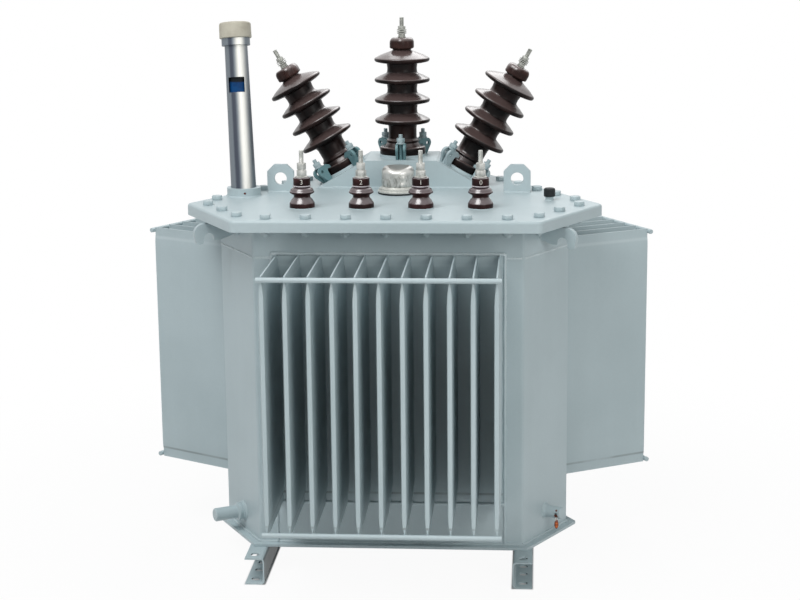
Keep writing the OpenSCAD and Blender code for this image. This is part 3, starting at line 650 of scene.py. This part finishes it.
def weld_seams():
    """Beads round the finned sheets, below the top ring and along the base plate."""
    side_r, edge_r, ring_r, foot_r = 0.0033, 0.0036, 0.0032, 0.0036
    edge_out, ring_sink, end_gap = 0.001, 0.0018, 0.003
    ring = Vector((0, 0, PANEL_TOP - 0.0085))
    foot = Vector((0, 0, BASE_TOP + 0.0006))
    bm = bmesh.new()
    for i in range(3):
        wall = on_wall(i)
        for n, x in enumerate((-PANEL_HALF, PANEL_HALF)):
            ends = [wall @ Vector((x, 0.0, z)) for z in (BASE_TOP, PANEL_TOP + 0.002)]
            weld(bm, *ends, side_r, 3 * i + n)
        for n, z in enumerate((PANEL_FOOT, PANEL_TOP)):
            ends = [wall @ Vector((s * PANEL_HALF, -edge_out, z)) for s in (-1, 1)]
            weld(bm, *ends, edge_r, 11 + 3 * i + n)
    for i in range(6):
        a, b = tank_corner(i, -ring_sink) + ring, tank_corner((i + 1) % 6, -ring_sink) + ring
        ahead = (b - a).normalized()
        if i % 2 == 0:
            weld(bm, a + ahead * end_gap, b - ahead * end_gap, ring_r, 30 + i)
        else:
            weld(bm, a + ahead * end_gap, a + ahead * CORNER_RETURN, ring_r, 40 + i)
            weld(bm, b - ahead * CORNER_RETURN, b - ahead * end_gap, ring_r, 50 + i)
        weld(bm, tank_corner(i, 0.0) + foot, tank_corner((i + 1) % 6, 0.0) + foot, foot_r, 60 + i)
    # The beads carry a painted highlight, paler towards the top
    piece("seam_welds", bm, ENAMEL_BEAD_HIGHLIGHT, crease=180.0)


def weld_fittings():
    """Beads along the lugs, hooks and turret, and round the collar, pocket, drain and earthing boss."""
    lug_r, hook_r, turret_r = 0.0030, 0.0028, 0.0026
    bm = bmesh.new()
    for s in (-1, 1):
        for n, y in enumerate(LUG_FACES):
            ends = [(s * LUG_X + e * LUG_HALF_W, y, LID_TOP) for e in (-1, 1)]
            weld(bm, *ends, lug_r, 70 + n + s)
    for i in range(3):
        place = on_corner(i, 0)
        for n, y in enumerate(HOOK_FACES):
            ends = [place @ Vector((0.0, y, z)) for z in (HOOK_FOOT, HOOK_TOP)]
            weld(bm, *ends, hook_r, 80 + 2 * i + n)
    reach = TURRET_FLAT + TURRET_H / math.tan(HV_LEAN)
    front, back = HV_Y - TURRET_HALF_W, HV_Y + TURRET_HALF_W
    for n, y in enumerate((front, back)):
        weld(bm, (-reach, y, LID_TOP), (reach, y, LID_TOP), turret_r, 90 + n)
    for n, x in enumerate((-reach, reach)):
        weld(bm, (x, front, LID_TOP), (x, back, LID_TOP), turret_r, 92 + n)
    drain = on_corner(2, BASE_TOP + DRAIN_UP)
    for n, (radius, thick, place, steps) in enumerate([(0.0360, 0.0024, at(*GAUGE), 72),
                                                       (0.0085, 0.0014, at(*POCKET), 40),
                                                       (0.0200, 0.0022, drain @ turned(90, "Y"), 72),
                                                       (0.0157, 0.0019, BOSS @ turned(90, "Y"), 72)]):
        hoop(bm, radius, thick, place, steps, n + 1.0)
    piece("fitting_welds", bm, ENAMEL, crease=180.0)


def bolt_spots():
    """Places of the lid bolts: seven on each long side and three on each corner side."""
    spots = []
    for i in range(3):
        for k in range(-3, 4):
            spots.append(turned(120 * i) @ at(k * LONG_PITCH, -LONG_BOLTS_IN, 0))
        for k in range(-1, 2):
            spots.append(turned(-30 + 120 * i) @ at(CORNER_BOLTS_IN, k * CORNER_PITCH, 0))
    return spots


def lid_bolts():
    """Bolt heads on the lid, with nuts and bolt ends under its rim."""
    heads, nuts = bmesh.new(), bmesh.new()
    for n, spot in enumerate(bolt_spots()):
        turn = turned(37 * n)
        hexagon(heads, HEAD_W, HEAD_H, spot @ at(0, 0, LID_TOP) @ turn, 0.0014)
        under = spot @ at(0, 0, RIM_FOOT) @ turned(180, "X") @ turn
        hexagon(nuts, NUT_W, NUT_H, under, 0.0008)
        washer(nuts, BOLT_R, 0.0, BOLT_END, under @ at(0, 0, NUT_H), 12)
    piece("lid_bolts", heads, ENAMEL)
    piece("lid_nuts", nuts, ENAMEL)


# High voltage

def hv_outline():
    """Porcelain outlines of the body and of the knob on top, and the knob's level."""
    # Radii, then the flange's thickness and the sheds' first level and pitch
    flange, neck, shed, knob = FLANGE_R, 0.033, 0.061, 0.028
    thick, first, pitch = 0.017, 0.074, 0.0448
    points = [(0, 0), (flange - 0.002, 0), (flange, 0.002)]
    points += bend((flange - 0.004, thick - 0.004), 0.004, 0, 90, 4)
    points += [(flange - 0.011, thick), (neck + 0.004, thick + 0.0045), (neck + 0.0022, thick + 0.007)]
    points += bend((neck - 0.0005, thick + 0.0115), 0.0036, -60, 60, 4)
    points += [(neck - 0.001, thick + 0.0175), (neck - 0.002, thick + 0.020)]
    points += [(neck - 0.002, first - 0.016), (neck - 0.001, first - 0.011)]
    for i in range(4):
        z = first + i * pitch
        points += [(neck + 0.001, z - 0.0088), (neck + 0.006, z - 0.0077), (neck + 0.016, z - 0.0067)]
        points += bend((shed - 0.005, z), 0.005, 280, 425, 10)
        if i < 3:
            points += [(0.0552, z + 0.0058), (0.0525, z + 0.0072), (0.0475, z + 0.0098), (0.0412, z + 0.0124),
                       (0.0365, z + 0.0145), (0.0338, z + 0.0166), (neck, z + 0.0195), (neck - 0.0004, z + 0.026)]
    z = first + 3 * pitch
    points += [(0.0552, z + 0.0058), (0.0490, z + 0.0092), (0.0420, z + 0.0121), (0.0355, z + 0.0145),
               (0.0280, z + 0.0172), (0.0235, z + 0.0190), (0.0205, z + 0.0208), (0.0200, z + 0.0225),
               (0, z + 0.0225)]
    top = z + 0.024
    head = [(0, z + 0.0220), (0.0199, z + 0.0220), (0.0235, top), (knob - 0.0020, top + 0.0004)]
    head += bend((knob - 0.0020, top + 0.0030), 0.0020, 300, 360, 3)
    head += [(knob - 0.009 + x, top + 0.0118 + 1.333 * y) for x, y in bend((0, 0), 0.009, 0, 90, 9)]
    head += [(0.010, top + 0.0238), (0, top + 0.0238)]
    return points, head, top


def hv_bushings():
    """Porcelain bodies, their six-lobed knobs, and the stems with nuts and washers."""
    body, head, knob = hv_outline()
    for side, name in ((-1, "left"), (0, "centre"), (1, "right")):
        foot = on_turret(side) @ at(0, 0, PAD_T)
        bm = bmesh.new()
        revolve(bm, body, foot, 96)
        piece("hv_porcelain_" + name, bm, GLAZE_HV_SHADED, ["hv_bushing_" + name], 50.0)
        bm = bmesh.new()
        revolve(bm, head, Matrix(), 96)
        # Grooves between the six lobes, fading toward the middle
        for v in bm.verts:
            if v.co.z > knob - 0.0005:
                r = math.hypot(v.co.x, v.co.y)
                turn = math.atan2(v.co.y, v.co.x)
                lobe = 0.5 + 0.5 * math.cos(6 * (turn + math.pi / 2))
                shrink = 1.0 - 0.075 * (1.0 - lobe ** 0.6) * min(1.0, max(0.0, (r - 0.012) / 0.012))
                v.co.x, v.co.y = v.co.x * shrink, v.co.y * shrink
        bmesh.ops.transform(bm, matrix=foot, verts=bm.verts)
        piece("hv_knob_" + name, bm, GLAZE_KNOB, crease=50.0)

        stem = on_turret(side) @ at(0, 0, PAD_T + knob + 0.024)
        bm = bmesh.new()
        washer(bm, 0.0090, 0.003, 0.0022, stem @ at(0, 0, -0.0002))
        hexagon(bm, 0.0142, 0.0064, stem @ at(0, 0, 0.0020) @ turned(11 + 40 * side))
        for z in (0.0084, 0.0120, 0.0156):
            washer(bm, 0.0106, 0.004, 0.0021, stem @ at(0, 0, z))
        hexagon(bm, 0.0148, 0.0070, stem @ at(0, 0, 0.0177) @ turned(24 - 30 * side))
        threaded(bm, 0.0049, 0.0438, stem)
        piece("hv_stem_" + name, bm, WEATHERED, ["hv_terminal_" + name])


def claw_bolts():
    """Studs through the claws, with nuts and washers on top, pale where the enamel drifted over them."""
    bm, shanks = bmesh.new(), bmesh.new()
    for side, turns in CLAW_TURNS.items():
        for n, a in enumerate(turns):
            foot = on_turret(side) @ turned(a) @ at(FLANGE_R + CLAW_OUT, 0, 0)
            threaded(bm if side > 0 else shanks, CLAW_BOLT_R, CLAW_H + 0.0002, foot)
            top = foot @ at(0, 0, CLAW_H)
            threaded(bm, CLAW_BOLT_R, 0.0210, top)
            washer(bm, 0.0100, 0.004, 0.0020, top, 24)
            washer(bm, 0.0080, 0.004, 0.0022, top @ at(0, 0, 0.0020), 24)
            hexagon(bm, 0.0160, 0.0085, top @ at(0, 0, 0.0042) @ turned(17 * n + 9 * side), 0.0010)
    piece("claw_bolts", bm, CLAW_PALE)
    piece("claw_shanks", shanks, CLAW_DARK)


def dress_claws():
    """Paints the clamps, the right-hand ones oversprayed."""
    for name, finish in (("left", CLAW_DARK), ("centre", CLAW_DARK), ("right", CLAW_PALE)):
        eased("hv_clamps_" + name, finish, 0.0009)


# Low voltage

def lv_bushings():
    """Porcelain with a waist, a shed and a barrel, cement rings painted pale as a highlight, pads, and stems with
    nuts.
    """
    flange, waist, barrel, shed = 0.026, 0.017, LV_BARREL_R, 0.0255
    outline = [(0, 0), (flange - 0.0006, 0), (flange, 0.0006), (flange, 0.0098), (flange - 0.0004, 0.0110)]
    outline += [(flange - 0.0014, 0.0124), (waist + 0.0045, 0.0176), (waist + 0.0008, 0.0214)]
    outline += [(waist, 0.0236), (waist, 0.0262), (waist + 0.0010, 0.0272)]
    outline += bend((shed - 0.002, 0.033), 0.002, 295, 425, 7)
    outline += [(shed - 0.0021, 0.0374), (shed - 0.0038, 0.0400), (shed - 0.0055, 0.0414)]
    outline += [(barrel + 0.0010, 0.0424), (barrel - 0.0025, 0.0426), (barrel - 0.0025, 0.0452)]
    outline += [(barrel - 0.0004, 0.0454), (barrel, 0.0459)]
    outline += bend((barrel - 0.0018, 0.0612), 0.0018, 0, 90, 4) + [(0.006, LV_H), (0, LV_H)]
    for i in range(4):
        bm = bmesh.new()
        revolve(bm, outline, on_lv(i), 72)
        piece("lv_porcelain_%d" % (i + 1), bm, GLAZE_LV, ["lv_bushing_%d" % (i + 1)], 50.0)

    rings, pads, bm = bmesh.new(), bmesh.new(), bmesh.new()
    for i in range(4):
        # Cement rings whose pale colour serves as a painted highlight at the groove
        washer(rings, barrel + 0.0009, barrel - 0.004, 0.0024, on_lv(i) @ at(0, 0, 0.0446), 48)
        washer(pads, flange + 0.0013, flange - 0.006, 0.0018, on_lv(i) @ at(0, 0, -0.0004), 48)
        top = on_lv(i) @ at(0, 0, LV_H)
        foot = [(0, 0), (0.0125, 0), (0.0130, 0.0006), (0.0130, 0.0024), (0.0108, 0.0034), (0, 0.0034)]
        revolve(bm, foot, top, 32)
        hexagon(bm, 0.0196, 0.0118, top @ at(0, 0, 0.0034) @ turned(13 + 22 * i), 0.0010)
        washer(bm, 0.0086, 0.004, 0.0018, top @ at(0, 0, 0.0152))
        hexagon(bm, 0.0168, 0.0130, top @ at(0, 0, 0.0170) @ turned(31 - 17 * i), 0.0010)
        threaded(bm, 0.0049, 0.0558, top)
    piece("lv_rings", rings, CEMENT_HIGHLIGHT)
    piece("lv_pads", pads, ENAMEL)
    piece("lv_stems", bm, TINNED, ["lv_terminals"])


def lv_marks():
    """Painted phase numbers on the barrels."""
    skin = LV_BARREL_R + 0.0002
    bm = bmesh.new()
    for i, mark in enumerate("3210"):
        words = bpy.data.curves.new("phase_mark", "FONT")
        words.body, words.size, words.offset = mark, 0.0135, -0.0001
        words.align_x = words.align_y = "CENTER"
        holder = bpy.data.objects.new("phase_mark", words)
        scene.collection.objects.link(holder)
        shape = bpy.data.meshes.new_from_object(holder.evaluated_get(bpy.context.evaluated_depsgraph_get()))
        bpy.data.objects.remove(holder)
        part = bmesh.new()
        part.from_mesh(shape)
        bmesh.ops.triangulate(part, faces=part.faces)
        for v in part.verts:
            turn = v.co.x / LV_BARREL_R + 0.08
            lift = v.co.y + 0.0004 * noise.noise(Vector((v.co.x * 300, v.co.y * 300, i)))
            v.co = Vector((skin * math.sin(turn), -skin * math.cos(turn), 0.0546 + lift))
        add(bm, part, on_lv(i))
    bmesh.ops.solidify(bm, geom=bm.faces[:], thickness=0.0003)
    piece("phase_marks", bm, MARK)


# Fittings

def relief_can():
    """Dented tin cap with round shoulders, a valley in front and crumpled sides, on a rim and a rubber pad."""
    r, h = 0.0355, 0.045
    outline = [(r - 0.001, 0.0), (r, 0.001)] + [(r, 0.001 + 0.0035 * i) for i in range(1, 8)]
    outline += bend((r - 0.016, h - 0.016), 0.016, 0, 90, 14)
    outline += [(0.016, h), (0.012, h), (0.008, h), (0.004, h), (0, h)]
    bm = bmesh.new()
    place = at(*RELIEF) @ at(0, 0, 0.016)
    revolve(bm, outline, Matrix(), 120)
    for v in bm.verts:
        # The top sags along a valley that deepens to the front
        up = max(0.0, (v.co.z - 0.020) / (h - 0.020))
        fade = min(1.0, max(0.0, (0.6 * r - v.co.y) / (1.6 * r)))
        dip = 0.0080 * fade * math.exp(-(v.co.x / 0.0190) ** 2) + 0.003 * max(0.0, v.co.y / r)
        v.co.z -= dip * min(1.0, up ** 2)
        # The sides crumple between the rim and the shoulder
        side = min(1.0, max(0.0, v.co.z - 0.003) / 0.006) * min(1.0, max(0.0, 0.036 - v.co.z) / 0.012)
        turn = math.atan2(v.co.y, v.co.x)
        spot = Vector((math.cos(turn) * 3.4, math.sin(turn) * 3.4, v.co.z * 62))
        dent = noise.noise(spot) * 0.0009 + abs(noise.noise(spot * 2.1 + Vector((7, 3, 1)))) * -0.0011
        out = Vector((v.co.x, v.co.y, 0))
        if out.length > 0.004:
            v.co += out.normalized() * dent * side
    bmesh.ops.transform(bm, matrix=place, verts=bm.verts)
    piece("relief_can", bm, TIN_CAN, ["relief_valve_cap"], 60.0)

    bm = bmesh.new()
    foot = at(*RELIEF)
    rim = 0.044
    outline = [(0, 0.0035), (rim - 0.0008, 0.0035), (rim, 0.0043), (rim, 0.0070), (rim - 0.0008, 0.0078)]
    outline += [(0.0416, 0.0082), (0.0408, 0.0090), (0.0408, 0.0118), (0.0398, 0.0128), (0.0374, 0.0134)]
    outline += [(0.0362, 0.0160), (0, 0.0160)]
    revolve(bm, outline, foot, 96)
    piece("relief_rim", bm, TIN_FOOT, ["relief_valve_foot"], 30.0)
    bm = bmesh.new()
    washer(bm, rim - 0.0006, 0.030, 0.0037, foot @ at(0, 0, -0.0001), 72)
    piece("relief_pad", bm, RUBBER)


def gauge_fittings():
    """Cap, tube and float of the oil gauge, and the screw in its collar."""
    bm = bmesh.new()
    r, h = 0.0345, 0.034
    outline = [(0, 0), (r - 0.0016, 0), (r, 0.0014), (r - 0.0002, 0.010)]
    outline += bend((r - 0.0055, h - 0.0050), 0.0050, 0, 90, 3) + [(0.012, h + 0.0003), (0, h + 0.0004)]
    revolve(bm, outline, on_gauge(GAUGE_H), 96)
    piece("gauge_top", bm, CAP_BEIGE, ["gauge_cap"], 50.0)

    bm = bmesh.new()
    screw = at(GAUGE.x, GAUGE.y, LID_TOP + 0.009) @ turned(12) @ at(0, -0.0352, 0) @ turned(90, "X")
    revolve(bm, [(0, -0.004), (0.0023, -0.004), (0.0023, -0.0012), (0.0016, -0.0006), (0.0008, -0.0006),
                 (0.0006, -0.0018), (0, -0.0018)], screw, 24)
    piece("collar_screw", bm, COPPER)
    eased("gauge_tube", TUBE, 0.0004)
    paint_nodes(["gauge_float"], FLOAT)


def pocket_top():
    """Black screw cap with fine ribs."""
    bm = bmesh.new()
    r, h = 0.012, 0.018
    outline = [(0, 0), (r - 0.0008, 0), (r, 0.0008), (r, 0.003), (r, 0.0085), (r, 0.0130)]
    outline += bend((r - 0.0040, h - 0.0042), 0.0040, 0, 90, 6) + [(0.004, h + 0.0003), (0, h + 0.0004)]
    revolve(bm, outline, Matrix(), 120)
    for v in bm.verts:
        out = math.hypot(v.co.x, v.co.y)
        if out > r - 0.0009 and 0.002 < v.co.z < 0.0150:
            rib = 1.0 - 0.022 * (0.5 + 0.5 * math.cos(30 * math.atan2(v.co.y, v.co.x)))
            v.co.x, v.co.y = v.co.x * rib, v.co.y * rib
    bmesh.ops.transform(bm, matrix=at(*POCKET) @ at(0, 0, 0.008), verts=bm.verts)
    piece("pocket_screw_cap", bm, RUBBER, ["pocket_cap"], 50.0)


def earth_tag():
    """Copper drop on a wire under the end of the earthing boss."""
    bm = bmesh.new()
    drop = [(0, 0), (0.0014, 0.0004), (0.0032, 0.0030), (0.0043, 0.0066), (0.0045, 0.0098), (0.0040, 0.0134),
            (0.0030, 0.0170), (0.0018, 0.0192), (0, 0.0200)]
    revolve(bm, drop, Matrix(), 32)
    bmesh.ops.scale(bm, vec=(1.0, 0.55, 1.0), verts=bm.verts)
    bmesh.ops.transform(bm, matrix=DROP @ turned(34), verts=bm.verts)
    piece("earth_tag", bm, COPPER)
    bm = bmesh.new()
    hoop(bm, 0.0034, 0.0012, BOSS @ at(0.0327, -0.0116, -0.0106) @ turned(90, "Y"), 32)
    piece("tag_wire", bm, TINNED)


# Studio

def lay_floor():
    """A pale floor that keeps the shadow of the object and reads as white."""
    bm = bmesh.new()
    bmesh.ops.create_grid(bm, x_segments=2, y_segments=2, size=30.0)
    mesh = bpy.data.meshes.new("studio_floor")
    bm.to_mesh(mesh)
    bm.free()
    floor = bpy.data.objects.new("studio_floor", mesh)
    scene.collection.objects.link(floor)
    f = Finish("pale_floor", roughness=0.9, specular_ior_level=0.1, base_color=(0.70, 0.70, 0.70))
    away = f.node("ShaderNodeVectorMath", {"operation": "LENGTH"}, {0: f.place}, "Value")
    paths = f.node("ShaderNodeLightPath", {}, {}).socket.node.outputs
    camera, glossy, through = (Signal(f, paths["Is %s Ray" % kind])
                               for kind in ("Camera", "Glossy", "Transmission"))
    x, y, _ = f.xyz()
    seen = (f.rise(away, 0.5, 1.6) * 0.05 + 0.95) * camera.top(glossy).top(through)
    # No glow under the channels
    for node in ("base_channel_left", "base_channel_right"):
        low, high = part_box(node)
        seen = seen * (1.0 - f.band(x, low[0], high[0], 0.004) * f.band(y, low[1], high[1], 0.004))
    glow = f.node("ShaderNodeEmission", {}, {"Color": (1.0, 1.0, 1.0), "Strength": 1.0})
    blend = f.node("ShaderNodeMixShader", {}, {0: seen, 1: Signal(f, f.surface.outputs[0]), 2: glow})
    f.tree.links.new(blend.socket, f.tree.nodes["Material Output"].inputs["Surface"])
    mesh.materials.append(f.material)


def light_sky():
    """A soft sky on the object, and white behind it."""
    world = bpy.data.worlds.new("studio_sky")
    scene.world = world
    world.use_nodes = True
    tree = world.node_tree
    sky = tree.nodes["Background"]
    white = tree.nodes.new("ShaderNodeBackground")
    for light, colour, strength in ((sky, (0.96, 0.98, 1.0, 1.0), SKY_STRENGTH),
                                    (white, (1.0, 1.0, 1.0, 1.0), 1.0)):
        light.inputs["Color"].default_value = colour
        light.inputs["Strength"].default_value = strength
    paths = tree.nodes.new("ShaderNodeLightPath").outputs
    seen = paths["Is Camera Ray"]
    for ray in ("Is Glossy Ray", "Is Transmission Ray"):
        either = tree.nodes.new("ShaderNodeMath")
        either.operation = "MAXIMUM"
        tree.links.new(seen, either.inputs[0])
        tree.links.new(paths[ray], either.inputs[1])
        seen = either.outputs[0]
    blend = tree.nodes.new("ShaderNodeMixShader")
    for socket, source in zip(blend.inputs, (seen, sky.outputs[0], white.outputs[0])):
        tree.links.new(source, socket)
    tree.links.new(blend.outputs[0], tree.nodes["World Output"].inputs["Surface"])


def hang_lamps():
    """Three soft boxes turned to the tank."""
    for name, spot, size, power, tint in LAMPS:
        lamp = bpy.data.lights.new(name, "AREA")
        lamp.shape, lamp.size, lamp.energy, lamp.color = "SQUARE", size, power, tint
        holder = bpy.data.objects.new(name, lamp)
        scene.collection.objects.link(holder)
        holder.location = spot
        holder.rotation_mode = "QUATERNION"
        holder.rotation_quaternion = (LAMP_AIM - Vector(spot)).to_track_quat("-Z", "Y")


aim_camera()
dress_tank()
weld_seams()
weld_fittings()
lid_bolts()
hv_bushings()
dress_claws()
claw_bolts()
lv_bushings()
lv_marks()
relief_can()
gauge_fittings()
pocket_top()
earth_tag()
lay_floor()
light_sky()
hang_lamps()
scene.view_settings.view_transform = "Standard"
